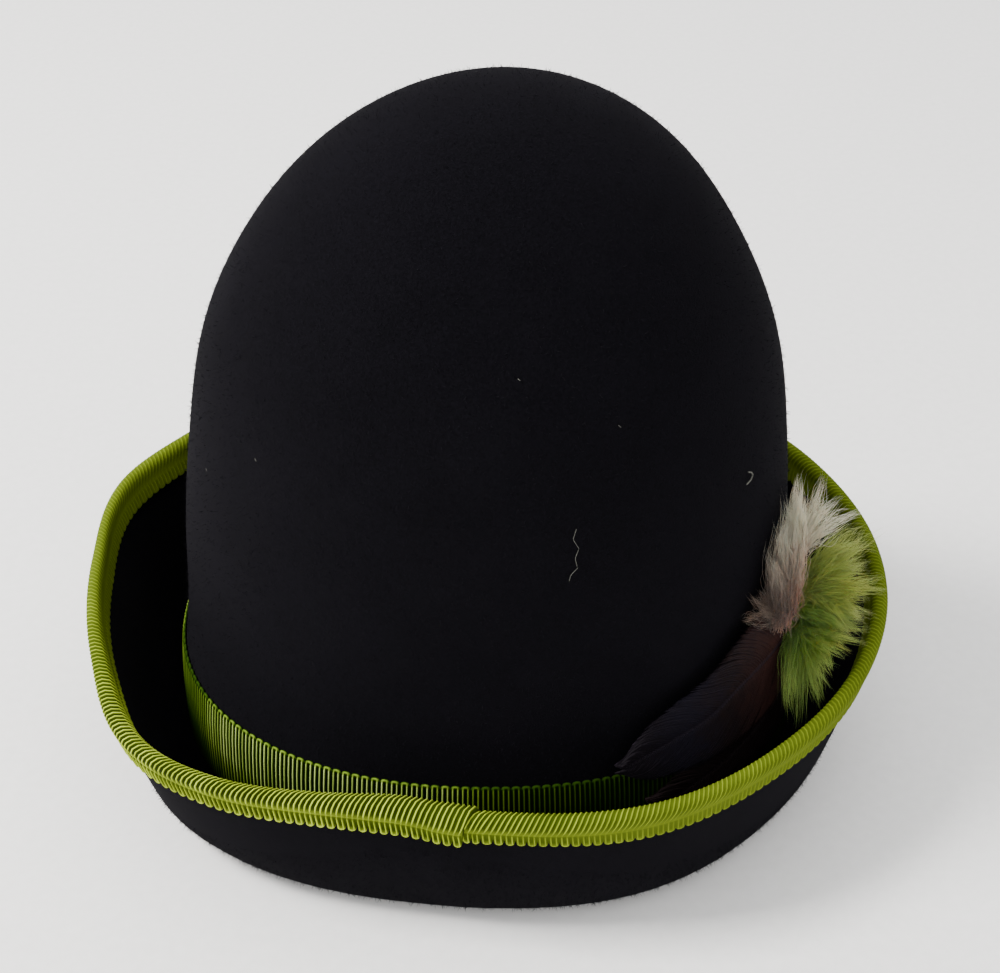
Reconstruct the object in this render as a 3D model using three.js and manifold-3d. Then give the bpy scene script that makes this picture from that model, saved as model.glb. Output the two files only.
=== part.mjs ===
// A tall hat of blocked wool felt with a rolled brim. A ribbed ribbon binds the brim's edge, a second one
// goes round the foot of the crown, and a bunch of feathers is sewn on at one end.
// Millimetres, +Z up. +X runs to the feathered end and -Y to the near long side. The hat stands on the
// flat ring under its brim, and the origin is on that plane, under the middle of the hat's box.
import * as THREE from "three";
import Module from "manifold-3d";
import { mergeVertices } from "three/addons/utils/BufferGeometryUtils.js";

// Driving dimensions of the felt
const feltThickness = 2.5;
const crownHeight = 221.9;
const crownHalfLength = 93.2;
const widthToLength = 0.795;
const crownRise = 3.3; // exponent of height: how late the wall turns in
const crownRound = 2; // exponent of radius: how full the dome is
const fullness = 1.7; // how much the wall swells at its middle
const fullnessHeight = 152;
const fullnessReach = 26;
const footSpread = 5; // how much the wall widens under the band
const footSpreadHeight = 47;
const footSpreadReach = 8;
const crownTopShift = 5.5; // the dome leans this far to the feathered end
const crownTopShiftPower = 4.5;
const ovalSquareness = 2.2; // 2 is a plain ellipse, as at the top
const footRadius = 4.5; // centre line of the turn from wall to brim
const ringStart = 6; // the flat ring that the hat stands on begins here, outside the crown's foot
const rollReach = 22; // the roll is a quarter oval, this wide where there is room
const rollHeight = 34;

// The brim's edge round the hat: how far it reaches beyond the crown's foot, its height,
// and how far its wall leans out. Angle 0 is the feathered end, 270 the near side.
const brimRows = [
  { angle: 0, reach: 25, height: 61, lean: 9 },
  { angle: 25, reach: 21.5, height: 65, lean: 8 },
  { angle: 55, reach: 19, height: 69, lean: 6 },
  { angle: 90, reach: 19, height: 70.5, lean: 5 },
  { angle: 125, reach: 20.5, height: 69, lean: 6 },
  { angle: 148, reach: 24.5, height: 66, lean: 9 },
  { angle: 163, reach: 28.5, height: 64, lean: 11 },
  { angle: 180, reach: 25.2, height: 61, lean: 11 },
  { angle: 200, reach: 25, height: 57.5, lean: 11 },
  { angle: 218, reach: 29.5, height: 54.5, lean: 14 },
  { angle: 232, reach: 25.5, height: 53, lean: 11 },
  { angle: 247, reach: 18.5, height: 52.5, lean: 4 },
  { angle: 259, reach: 15.8, height: 52.5, lean: 0 },
  { angle: 270, reach: 17.8, height: 51, lean: 1 },
  { angle: 292, reach: 21.5, height: 51.7, lean: 7 },
  { angle: 316, reach: 20.8, height: 54, lean: 11 },
  { angle: 338, reach: 23, height: 57.2, lean: 12 },
];

// Driving dimensions of the ribbon
const ribbonThickness = 0.9;
const ribbonGap = 0.4;
const bindingOuterDrop = 9;
const bindingInnerDrop = 9;
const bindingStart = 263; // degrees; every station round the hat is counted from here
const bindingLapStations = 1; // the end runs this far past the start
const bindingLapRamp = 5;
const bandBottom = 11;
const bandTop = 42;

// The feather bunch. Turn is measured from the feathered end towards the near side, height from the
// table, and lift out from the crown's wall. Each row is a slice across a flat piece.
const padThickness = 2;
const padRows = [
  { turn: 12, middle: 62, half: 5, lift: 0.3 },
  { turn: 15, middle: 62, half: 10, lift: 0.3 },
  { turn: 22, middle: 62, half: 12, lift: 0.3 },
  { turn: 29, middle: 62, half: 10, lift: 0.3 },
  { turn: 32, middle: 62, half: 5, lift: 0.3 },
];
const longFeatherThickness = 1.1;
const longFeatherRows = [
  { turn: 18, middle: 58, half: 2.5, lift: 4 },
  { turn: 23, middle: 58, half: 9, lift: 4 },
  { turn: 31, middle: 60, half: 16, lift: 3.6 },
  { turn: 42, middle: 59, half: 18, lift: 3.2 },
  { turn: 51, middle: 55, half: 16, lift: 3 },
  { turn: 58, middle: 53, half: 13, lift: 3 },
  { turn: 64, middle: 50.5, half: 9, lift: 3.2 },
  { turn: 67.5, middle: 49, half: 4, lift: 3.6 },
];
const underFeatherThickness = 0.8;
const underFeatherRows = [
  { turn: 20, middle: 56, half: 2, lift: 2.7 },
  { turn: 28, middle: 50, half: 6, lift: 2.2 },
  { turn: 38, middle: 40, half: 8, lift: 1.7 },
  { turn: 50, middle: 32, half: 9, lift: 1.6 },
  { turn: 58, middle: 29, half: 7.5, lift: 1.6 },
  { turn: 63, middle: 28, half: 3, lift: 1.8 },
];

// The downy plumes: locks fan out from a knot in two layers, and their tips follow a hand-set line.
// Tips are placed by their lift from the crown's wall, or by their reach from its foot.
const knotRadius = 6.3;
const knotDepth = 3.4;
const lockRadius = 3;
const lockTipRadius = 0.5;
const lockBendAt = 0.55; // a lock's middle, as a share of its length
const lockBendRise = 0.1; // and how far it arches up, as a share of its length
const innerLockShare = 0.62; // length of the inner layer's locks, as a share of the outer's
const innerLockRise = 3;
const greyDown = {
  knot: { turn: 32, height: 79, lift: 7.7 },
  outerLocks: 6,
  innerLocks: 3,
  tips: [
    { turn: 11, height: 99, lift: 14 },
    { turn: 17, height: 112, lift: 5.4 },
    { turn: 27, height: 110, lift: 5 },
    { turn: 36, height: 106, lift: 5.4 },
    { turn: 42, height: 92, lift: 5 },
  ],
};
const upperPlume = {
  knot: { turn: 21.5, height: 77.5, lift: 8.6 },
  outerLocks: 7,
  innerLocks: 4,
  tips: [
    { turn: 0, height: 79, reach: 14 },
    { turn: 6, height: 76, reach: 20 },
    { turn: 12, height: 76, reach: 21.5 },
    { turn: 17, height: 74, reach: 21 },
    { turn: 18, height: 66, reach: 20.5 },
  ],
};
const lowerPlume = {
  knot: { turn: 25, height: 66.2, lift: 8.5 },
  outerLocks: 6,
  innerLocks: 4,
  tips: [
    { turn: 21, height: 69, reach: 21 },
    { turn: 26, height: 64, reach: 19.5 },
    { turn: 30, height: 56, reach: 18 },
    { turn: 34, height: 48, reach: 13.5 },
    { turn: 36, height: 53, reach: 7 },
  ],
};

// How finely the round shapes are stepped
const stations = 64;
const footSteps = 3;
const rollSteps = 5;
const domeSteps = 10;
const wallHeights = [44, 58]; // rings where the wall straightens above the band
const feltEdgeTurns = [60, 120];
const bindingOuterTurns = [180, 135, 90, 45, 0];
const bindingInnerTurns = [0, 60, 120, 180];
const bladeSteps = 12;
const bladeTipTurn = 0.25; // degrees that a leaf's tip runs past its last row
const knotSides = 8;
const knotRows = 6;
const lockSides = 5;
const lockSteps = 4;

const black = new THREE.MeshStandardMaterial({ color: 0x141318, roughness: 0.95, metalness: 0 });
const ribbonGreen = new THREE.MeshStandardMaterial({ color: 0x8fa82c, roughness: 0.6, metalness: 0 });
const plumeLime = new THREE.MeshStandardMaterial({ color: 0xa9bd52, roughness: 0.9, metalness: 0 });
const plumeGreen = new THREE.MeshStandardMaterial({ color: 0x8cb43c, roughness: 0.9, metalness: 0 });
const downGrey = new THREE.MeshStandardMaterial({ color: 0xa5968c, roughness: 0.9, metalness: 0 });
const vaneBrown = new THREE.MeshStandardMaterial({ color: 0x3c2d2d, roughness: 0.45, metalness: 0 });
const vaneDark = new THREE.MeshStandardMaterial({ color: 0x1e161c, roughness: 0.45, metalness: 0 });

const radians = THREE.MathUtils.degToRad;

// A value between the rows of a table, along cubic steps whose slopes follow the neighbouring rows
function smooth(rows, key, column, at, period = 0) {
  const count = rows.length;
  const row = (i) => {
    if (!period) return rows[THREE.MathUtils.clamp(i, 0, count - 1)];
    const turn = Math.floor(i / count);
    const inside = rows[i - turn * count];
    return { ...inside, [key]: inside[key] + turn * period };
  };
  const place = period ? THREE.MathUtils.euclideanModulo(at, period) : at;
  let i = period ? -1 : 0;
  const last = period ? count - 1 : count - 2;
  while (i < last && row(i + 1)[key] <= place) i += 1;
  const slope = (j) => {
    const run = row(j + 1)[key] - row(j - 1)[key];
    return run ? (row(j + 1)[column] - row(j - 1)[column]) / run : 0;
  };
  const step = row(i + 1)[key] - row(i)[key];
  const t = (place - row(i)[key]) / step;
  const [a, b] = [row(i)[column], row(i + 1)[column]];
  const bend = slope(i) * step * (t - 2 * t * t + t * t * t) + slope(i + 1) * step * (t * t * t - t * t);
  return a * (1 - 3 * t * t + 2 * t * t * t) + b * (3 * t * t - 2 * t * t * t) + bend;
}

// A closed skin through rings of points. The rings join end to end, or the ends close on a point each,
// or on flat caps given as triangles of a ring's points.
function loft(rings, { poles = null, caps = null } = {}) {
  const size = rings[0].length;
  const points = rings.flat();
  const faces = [];
  const joined = !poles && !caps;
  const spans = joined ? rings.length : rings.length - 1;
  for (let r = 0; r < spans; r += 1) {
    const next = ((r + 1) % rings.length) * size;
    for (let i = 0; i < size; i += 1) {
      const j = (i + 1) % size;
      const [a, b, c, d] = [r * size + i, r * size + j, next + j, next + i];
      faces.push(a, b, c, a, c, d);
    }
  }
  const end = (rings.length - 1) * size;
  if (poles) {
    points.push(...poles);
    const [first, last] = [points.length - 2, points.length - 1];
    for (let i = 0; i < size; i += 1) {
      const j = (i + 1) % size;
      faces.push(first, j, i, last, end + i, end + j);
    }
  }
  if (caps) {
    for (const [a, b, c] of caps) faces.push(a, c, b, end + a, end + b, end + c);
  }
  const geometry = new THREE.BufferGeometry().setFromPoints(points);
  geometry.setIndex(signedVolume(points, faces) < 0 ? faces.reverse() : faces);
  geometry.computeVertexNormals();
  return geometry;
}

// The triangles of a flat outline, wound the way that the outline runs
function flatCap(outline) {
  const flat = outline.map(([x, y]) => new THREE.Vector2(x, y));
  const turn = THREE.ShapeUtils.area(flat);
  const faces = THREE.ShapeUtils.triangulateShape(flat, []);
  return faces.map((face) => {
    const same = THREE.ShapeUtils.area(face.map((i) => flat[i])) * turn > 0;
    return same ? face : face.toReversed();
  });
}

function signedVolume(points, faces) {
  let sum = 0;
  for (let f = 0; f < faces.length; f += 3) {
    const [a, b, c] = [points[faces[f]], points[faces[f + 1]], points[faces[f + 2]]];
    sum += a.dot(new THREE.Vector3().crossVectors(b, c));
  }
  return sum / 6;
}

const stationAngle = (i) => bindingStart + (360 * i) / stations;
const anglesRound = Array.from({ length: stations }, (_, i) => stationAngle(i));

// The crown's oval is a rounded rectangle at the foot and a plain ellipse at the top
function ovalPoint(angle, halfLength, halfWidth, squareness) {
  const [c, s] = [Math.cos(radians(angle)), Math.sin(radians(angle))];
  const power = 2 / squareness;
  return new THREE.Vector2(
    halfLength * Math.sign(c) * Math.abs(c) ** power,
    halfWidth * Math.sign(s) * Math.abs(s) ** power,
  );
}

function crownLengthAt(height) {
  const wall = crownHalfLength * (1 - (height / crownHeight) ** crownRise) ** (1 / crownRound);
  const swell = fullness * Math.exp(-(((height - fullnessHeight) / fullnessReach) ** 2));
  return wall + swell + footSpread / (1 + Math.exp((height - footSpreadHeight) / footSpreadReach));
}

// A point on the crown's outside, moved out by lift, or on its inside when lift is less than zero
function crownPoint(angle, height, lift = 0) {
  const share = height / crownHeight;
  const length = crownLengthAt(height);
  const squareness = ovalSquareness - (ovalSquareness - 2) * share;
  const flat = ovalPoint(angle, length + lift, length * widthToLength + lift, squareness);
  return new THREE.Vector3(flat.x + crownTopShift * share ** crownTopShiftPower, flat.y, height);
}

const footHeight = feltThickness / 2 + footRadius;

// A point of the brim: reach is measured square to the crown's foot
function brimPoint(angle, reach, height) {
  const foot = crownPoint(angle, footHeight);
  const [length, width] = [crownLengthAt(footHeight), crownLengthAt(footHeight) * widthToLength];
  const power = ovalSquareness - 1;
  const outward = new THREE.Vector3(
    (Math.sign(foot.x) * Math.abs(foot.x / length) ** power) / length,
    (Math.sign(foot.y) * Math.abs(foot.y / width) ** power) / width,
    0,
  ).normalize();
  return foot.addScaledVector(outward, reach).setZ(height);
}

// The brim's section at an angle: centre-line points with the direction that the felt runs in,
// from the crown's foot, over the ring that it stands on, round the roll and up to the edge
function brimLine(angle) {
  const reach = smooth(brimRows, "angle", "reach", angle, 360);
  const height = smooth(brimRows, "angle", "height", angle, 360);
  const lean = radians(smooth(brimRows, "angle", "lean", angle, 360));
  const half = feltThickness / 2;
  const line = [];
  for (let i = 0; i <= footSteps; i += 1) {
    const turn = ((Math.PI / 2) * i) / footSteps;
    line.push({
      at: [footRadius * (1 - Math.cos(turn)) - half, half + footRadius * (1 - Math.sin(turn))],
      along: [Math.sin(turn), -Math.cos(turn)],
    });
  }
  const edge = [reach, height - half];
  const room = reach - ringStart - (height / 2) * Math.sin(lean);
  const rollWidth = Math.min(rollReach, room);
  const rollEnd = Math.atan2(rollWidth, rollHeight * Math.tan(lean));
  const wallStart = half + rollHeight * (1 - Math.cos(rollEnd));
  const rollCentre = reach - rollWidth * Math.sin(rollEnd) - (edge[1] - wallStart) * Math.tan(lean);
  for (let i = 0; i <= rollSteps; i += 1) {
    const turn = (rollEnd * i) / rollSteps;
    const run = [rollWidth * Math.cos(turn), rollHeight * Math.sin(turn)];
    const length = Math.hypot(...run);
    line.push({
      at: [rollCentre + rollWidth * Math.sin(turn), half + rollHeight * (1 - Math.cos(turn))],
      along: [run[0] / length, run[1] / length],
    });
  }
  line.push({ at: edge, along: [Math.sin(lean), Math.cos(lean)] });
  return line;
}

// A point beside the centre line, on the side of the trough when side is above zero
function beside({ at, along }, side, past = 0) {
  return [at[0] - along[1] * side + along[0] * past, at[1] + along[0] * side + along[1] * past];
}

function feltHat() {
  const half = feltThickness / 2;
  const lowHeights = [bandBottom, (bandBottom + bandTop) / 2, bandTop, ...wallHeights];
  const domeStart = lowHeights.at(-1);
  const heights = [...lowHeights];
  for (let i = 1; i < domeSteps; i += 1) {
    heights.push(domeStart + (crownHeight - domeStart) * Math.sin(((Math.PI / 2) * i) / domeSteps));
  }
  const lines = anglesRound.map(brimLine);
  const brimRing = (pick) => lines.map((line, i) => brimPoint(anglesRound[i], ...pick(line)));
  const steps = lines[0].length;
  const insideScale = (crownHeight - feltThickness) / crownHeight;
  const rings = [];
  for (const height of heights.toReversed()) {
    rings.push(anglesRound.map((angle) => crownPoint(angle, height)));
  }
  for (let i = 0; i < steps; i += 1) rings.push(brimRing((line) => beside(line[i], half)));
  for (const turn of feltEdgeTurns) {
    const [side, past] = [half * Math.cos(radians(turn)), half * Math.sin(radians(turn))];
    rings.push(brimRing((line) => beside(line.at(-1), side, past)));
  }
  for (let i = steps - 1; i >= 0; i -= 1) rings.push(brimRing((line) => beside(line[i], -half)));
  for (const height of heights) {
    const inside = (angle) => crownPoint(angle, height, -feltThickness);
    rings.push(anglesRound.map((angle) => inside(angle).setZ(height * insideScale)));
  }
  const top = new THREE.Vector3(crownTopShift, 0, crownHeight);
  const poles = [top, top.clone().setZ(crownHeight * insideScale)];
  return new THREE.Mesh(loft(rings, { poles }), black);
}

function brimBinding() {
  const inner = feltThickness / 2 + ribbonGap;
  const outer = inner + ribbonThickness;
  const angles = Array.from({ length: stations + bindingLapStations + 1 }, (_, i) => stationAngle(i));
  const sectionAt = (lift) => {
    const section = [[-outer - lift, -bindingOuterDrop]];
    for (const turn of bindingOuterTurns) {
      const radius = outer + lift;
      section.push([radius * Math.cos(radians(turn)), radius * Math.sin(radians(turn))]);
    }
    section.push([outer + lift, -bindingInnerDrop], [inner + lift, -bindingInnerDrop]);
    for (const turn of bindingInnerTurns) {
      const radius = inner + lift;
      section.push([radius * Math.cos(radians(turn)), radius * Math.sin(radians(turn))]);
    }
    section.push([-inner - lift, -bindingOuterDrop]);
    return section;
  };
  const rings = angles.map((angle) => {
    const past = angle - bindingStart;
    const ramp = THREE.MathUtils.smoothstep(past, 360 - 2 * bindingLapRamp, 360 - bindingLapRamp);
    const edge = brimLine(angle).at(-1);
    const section = sectionAt(ramp * (ribbonThickness + ribbonGap));
    return section.map(([side, along]) => brimPoint(angle, ...beside(edge, side, along)));
  });
  return new THREE.Mesh(loft(rings, { caps: flatCap(sectionAt(0)) }), ribbonGreen);
}

function hatBand() {
  const inner = ribbonGap;
  const outer = ribbonGap + ribbonThickness;
  const middle = (bandBottom + bandTop) / 2;
  const section = [
    [outer, bandBottom], [outer, middle], [outer, bandTop],
    [inner, bandTop], [inner, middle], [inner, bandBottom],
  ];
  const rings = anglesRound.map((angle) => section.map(([lift, z]) => crownPoint(angle, z, lift)));
  return new THREE.Mesh(loft(rings), ribbonGreen);
}

// A thin leaf that lies along the crown's wall, thick at the middle and thin at its edges
function blade(rows, thickness, material) {
  const across = [[-1, 0.4], [-0.5, 0.85], [0, 1], [0.5, 0.85], [1, 0.4], [0.5, 0], [0, 0], [-0.5, 0]];
  const [start, end] = [rows[0].turn, rows.at(-1).turn];
  const at = (turn, share, height) => {
    const lift = smooth(rows, "turn", "lift", turn) + thickness * height;
    const middle = smooth(rows, "turn", "middle", turn);
    return crownPoint(-turn, middle + smooth(rows, "turn", "half", turn) * share, lift);
  };
  const rings = [];
  for (let i = 0; i <= bladeSteps; i += 1) {
    const turn = start + ((end - start) * i) / bladeSteps;
    rings.push(across.map(([share, height]) => at(turn, share, height)));
  }
  const poles = [start - bladeTipTurn, end + bladeTipTurn].map((turn) => at(turn, 0, 0.5));
  return new THREE.Mesh(loft(rings, { poles }), material);
}

// A pointed lock on a bent line from its root to its tip
function lock(root, tip, radius) {
  const bend = root.clone().lerp(tip, lockBendAt);
  bend.z += root.distanceTo(tip) * lockBendRise;
  const line = new THREE.QuadraticBezierCurve3(root, bend, tip);
  const rings = [];
  for (let i = 0; i < lockSteps; i += 1) {
    const t = i / lockSteps;
    const centre = line.getPoint(t);
    const along = line.getTangent(t);
    const side = new THREE.Vector3(0, 0, 1).cross(along).normalize();
    const up = along.clone().cross(side);
    const size = THREE.MathUtils.lerp(radius, lockTipRadius, t);
    rings.push(Array.from({ length: lockSides }, (_, k) => {
      const turn = (2 * Math.PI * k) / lockSides;
      const offset = side.clone().multiplyScalar(size * Math.cos(turn));
      return centre.clone().add(offset).addScaledVector(up, size * Math.sin(turn));
    }));
  }
  return loft(rings, { poles: [root.clone().addScaledVector(line.getTangent(0), -radius / 2), tip] });
}

const wasm = await Module();
wasm.setup();

function solidOf(geometry) {
  const bare = geometry.clone();
  bare.deleteAttribute("normal");
  bare.deleteAttribute("uv");
  const merged = mergeVertices(bare);
  const triVerts = new Uint32Array(merged.index.array);
  const vertProperties = new Float32Array(merged.attributes.position.array);
  return new wasm.Manifold(new wasm.Mesh({ numProp: 3, vertProperties, triVerts }));
}

// A downy plume: a knot with locks that fan out to points along the line of tips
function plume({ knot, tips, outerLocks, innerLocks }, material) {
  const ball = new THREE.SphereGeometry(1, knotSides, knotRows).scale(knotDepth, knotRadius, knotRadius);
  ball.rotateZ(radians(-knot.turn));
  const root = crownPoint(-knot.turn, knot.height, knot.lift);
  ball.translate(root.x, root.y, root.z);
  let solid = solidOf(ball);
  const line = new THREE.CatmullRomCurve3(tips.map(({ turn, height, lift, reach }) => (
    reach ? brimPoint(-turn, reach, height) : crownPoint(-turn, height, lift)
  )));
  for (const [count, share, rise] of [[outerLocks, 1, 0], [innerLocks, innerLockShare, innerLockRise]]) {
    for (let i = 0; i < count; i += 1) {
      const tip = root.clone().lerp(line.getPoint(i / (count - 1)), share);
      solid = solid.add(solidOf(lock(root, tip.setZ(tip.z + rise), lockRadius)));
    }
  }
  const mesh = solid.getMesh();
  const geometry = new THREE.BufferGeometry();
  geometry.setAttribute("position", new THREE.BufferAttribute(mesh.vertProperties, 3));
  geometry.setIndex(new THREE.BufferAttribute(mesh.triVerts, 1));
  geometry.computeVertexNormals();
  return new THREE.Mesh(geometry, material);
}

const hat = new THREE.Group();
const parts = {
  felt_hat: feltHat(),
  brim_binding: brimBinding(),
  hat_band: hatBand(),
  feather_pad: blade(padRows, padThickness, black),
  long_feather: blade(longFeatherRows, longFeatherThickness, vaneBrown),
  under_feather: blade(underFeatherRows, underFeatherThickness, vaneDark),
  grey_down: plume(greyDown, downGrey),
  upper_green_plume: plume(upperPlume, plumeLime),
  lower_green_plume: plume(lowerPlume, plumeGreen),
};
for (const [name, mesh] of Object.entries(parts)) {
  mesh.name = name;
  hat.add(mesh);
}
// The origin goes under the middle of the hat's box
const box = new THREE.Box3().setFromObject(hat);
hat.position.set(-(box.min.x + box.max.x) / 2, -(box.min.y + box.max.y) / 2, 0);

export default hat;
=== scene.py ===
import math
import bmesh
import bpy
import numpy as np
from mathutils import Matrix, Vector


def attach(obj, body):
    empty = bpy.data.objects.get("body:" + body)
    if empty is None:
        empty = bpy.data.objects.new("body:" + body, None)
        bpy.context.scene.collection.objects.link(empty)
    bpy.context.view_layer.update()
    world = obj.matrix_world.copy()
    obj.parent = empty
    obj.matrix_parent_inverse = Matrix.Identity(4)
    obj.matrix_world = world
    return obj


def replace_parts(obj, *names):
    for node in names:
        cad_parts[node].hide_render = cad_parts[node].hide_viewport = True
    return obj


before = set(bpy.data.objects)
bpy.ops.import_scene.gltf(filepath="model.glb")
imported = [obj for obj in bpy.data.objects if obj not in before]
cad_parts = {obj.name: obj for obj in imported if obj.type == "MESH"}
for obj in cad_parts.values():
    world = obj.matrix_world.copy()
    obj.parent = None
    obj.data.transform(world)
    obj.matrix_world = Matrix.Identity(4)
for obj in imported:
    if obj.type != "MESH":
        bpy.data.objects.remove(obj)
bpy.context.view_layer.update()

# The hat itself is one hood of black wool felt, wetted, pulled over a tall oval block and dried there.
# The brim is the same felt: it turns out at the foot of the crown and rolls up all round, and its edge
# is trimmed to a line that stands highest at the back and dips at the near side. Sizes are in millimetres.
felt_thick = 2.5
crown_height = 221.9
crown_half_length = 93.2
width_to_length = 0.795
# The powers of the dome's curve, then how far, where and over what height its wall and its foot spread
crown_rise = 3.3
crown_round = 2.0
fullness = 1.7
fullness_height = 152.0
fullness_reach = 26.0
foot_spread = 5.0
foot_spread_height = 47.0
foot_spread_reach = 8.0
# The top leans a little towards the feathers, and seen from above the oval is slightly squared
crown_top_shift = 5.5
crown_shift_rise = 4.5
oval_squareness = 2.2
# The brim turns out at the foot, lies flat where it meets the table, and rolls up to its wall
foot_radius = 4.5
ring_start = 6.0
roll_reach = 22.0
roll_height = 34.0
upper_wall_shares = (0.35, 0.7, 1.0)
foot_height = felt_thick / 2 + foot_radius

# Degrees round the hat from the feathered end, then the edge's reach beyond the crown's foot, its height
# and how many degrees its wall leans out
brim_rows = np.array([
    (0, 25, 61, 9),
    (25, 21.5, 65, 8),
    (55, 19, 69, 6),
    (90, 19, 70.5, 5),
    (125, 20.5, 69, 6),
    (148, 24.5, 66, 9),
    (163, 28.5, 64, 11),
    (180, 25.2, 61, 11),
    (200, 25, 57.5, 11),
    (218, 29.5, 54.5, 14),
    (232, 25.5, 53, 11),
    (247, 18.5, 52.5, 4),
    (259, 15.8, 52.5, 0),
    (270, 17.8, 51, 1),
    (292, 21.5, 51.7, 7),
    (316, 20.8, 54, 11),
    (338, 23, 57.2, 12),
])


def smooth_between(keys, values, at):
    """The values between the keys, along cubic steps whose slopes follow the neighbouring keys."""
    slopes = np.gradient(values, keys)
    slopes[1:-1] = (values[2:] - values[:-2]) / (keys[2:] - keys[:-2])
    i = np.clip(np.searchsorted(keys, at, side="right") - 1, 0, len(keys) - 2)
    step = keys[i + 1] - keys[i]
    t = (at - keys[i]) / step
    bend = slopes[i] * step * (t - 2 * t**2 + t**3) + slopes[i + 1] * step * (t**3 - t**2)
    return values[i] * (1 - 3 * t**2 + 2 * t**3) + values[i + 1] * (3 * t**2 - 2 * t**3) + bend


def brim_column(column, angle):
    """One column of the brim's rows, smoothed right round the hat."""
    keys = np.concatenate([brim_rows[:, 0] - 360, brim_rows[:, 0], brim_rows[:, 0] + 360])
    return smooth_between(keys, np.tile(brim_rows[:, column], 3), np.mod(angle, 360))


def crown_length(height):
    """Half the crown's length at a height."""
    wall = crown_half_length * (1 - np.clip(height / crown_height, 0, 1) ** crown_rise) ** (1 / crown_round)
    swell = fullness * np.exp(-(((height - fullness_height) / fullness_reach) ** 2))
    return wall + swell + foot_spread / (1 + np.exp((height - foot_spread_height) / foot_spread_reach))


def crown_point(angle, height, lift=0.0):
    """A place on the crown's wall, moved out from it by lift."""
    angle, height, lift = np.broadcast_arrays(
        np.asarray(angle, float), np.asarray(height, float), np.asarray(lift, float)
    )
    share = height / crown_height
    power = 2 / (oval_squareness - (oval_squareness - 2) * share)
    c, s = np.cos(np.radians(angle)), np.sin(np.radians(angle))
    length = crown_length(height)
    x = (length + lift) * np.sign(c) * np.abs(c) ** power + crown_top_shift * share**crown_shift_rise
    y = (length * width_to_length + lift) * np.sign(s) * np.abs(s) ** power
    return np.stack([x, y, height], axis=-1)


def brim_point(angle, reach, height):
    """A place over the brim: reach is measured square to the crown's foot."""
    angle, reach, height = np.broadcast_arrays(
        np.asarray(angle, float), np.asarray(reach, float), np.asarray(height, float)
    )
    foot = crown_point(angle, foot_height)
    length = crown_length(foot_height)
    width = length * width_to_length
    out_x = np.sign(foot[..., 0]) * np.abs(foot[..., 0] / length) ** (oval_squareness - 1) / length
    out_y = np.sign(foot[..., 1]) * np.abs(foot[..., 1] / width) ** (oval_squareness - 1) / width
    size = np.hypot(out_x, out_y)
    x = foot[..., 0] + reach * out_x / size
    y = foot[..., 1] + reach * out_y / size
    return np.stack([x, y, height], axis=-1)


def brim_line(angle, foot_steps, roll_steps):
    """The middle of the brim's felt at an angle: a list of (reach, height, run out, run up)."""
    reach, height = brim_column(1, angle), brim_column(2, angle)
    lean = np.radians(brim_column(3, angle))
    half = felt_thick / 2
    level = 0 * reach
    line = []
    for i in range(foot_steps + 1):
        turn = math.pi / 2 * i / foot_steps
        out = foot_radius * (1 - math.cos(turn)) - half
        up = half + foot_radius * (1 - math.sin(turn))
        line.append((level + out, level + up, level + math.sin(turn), level - math.cos(turn)))
    edge_up = height - half
    roll_width = np.minimum(roll_reach, reach - ring_start - height / 2 * np.sin(lean))
    roll_end = np.arctan2(roll_width, roll_height * np.tan(lean))
    wall_start = half + roll_height * (1 - np.cos(roll_end))
    roll_middle = reach - roll_width * np.sin(roll_end) - (edge_up - wall_start) * np.tan(lean)
    for i in range(roll_steps + 1):
        turn = roll_end * i / roll_steps
        run_out, run_up = roll_width * np.cos(turn), roll_height * np.sin(turn)
        size = np.hypot(run_out, run_up)
        out = roll_middle + roll_width * np.sin(turn)
        up = half + roll_height * (1 - np.cos(turn))
        line.append((out, up, run_out / size, run_up / size))
    wall_out, wall_up, _, _ = line[-1]
    for share in upper_wall_shares:
        out = wall_out + (reach - wall_out) * share
        up = wall_up + (edge_up - wall_up) * share
        line.append((out, up, np.sin(lean), np.cos(lean)))
    return line


def beside(station, side, past=0.0):
    """The reach and height of a place beside the felt's middle: side is above 0 towards the trough."""
    out, up, run_out, run_up = station
    return out - run_up * side + run_out * past, up + run_out * side + run_up * past


# The frame's origin lies under the middle of the whole hat, so the crown's own centre is read off its top
crown_top = max(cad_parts["felt_hat"].data.vertices, key=lambda vertex: vertex.co.z).co
hat_middle = np.array([crown_top.x * 1000 - crown_top_shift, crown_top.y * 1000, 0.0])


def add_piece(name, points, faces, material, smooth=True):
    """A mesh of the hat, from points in millimetres about the hat's middle."""
    mesh = bpy.data.meshes.new(name)
    mesh.from_pydata(((np.asarray(points) + hat_middle) * 0.001).tolist(), [], faces)
    mesh.polygons.foreach_set("use_smooth", [smooth] * len(mesh.polygons))
    mesh.materials.append(material)
    piece = bpy.data.objects.new(name, mesh)
    bpy.context.scene.collection.objects.link(piece)
    bm = bmesh.new()
    bm.from_mesh(mesh)
    bmesh.ops.recalc_face_normals(bm, faces=bm.faces)
    bm.to_mesh(mesh)
    bm.free()
    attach(piece, "root")
    return piece


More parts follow.
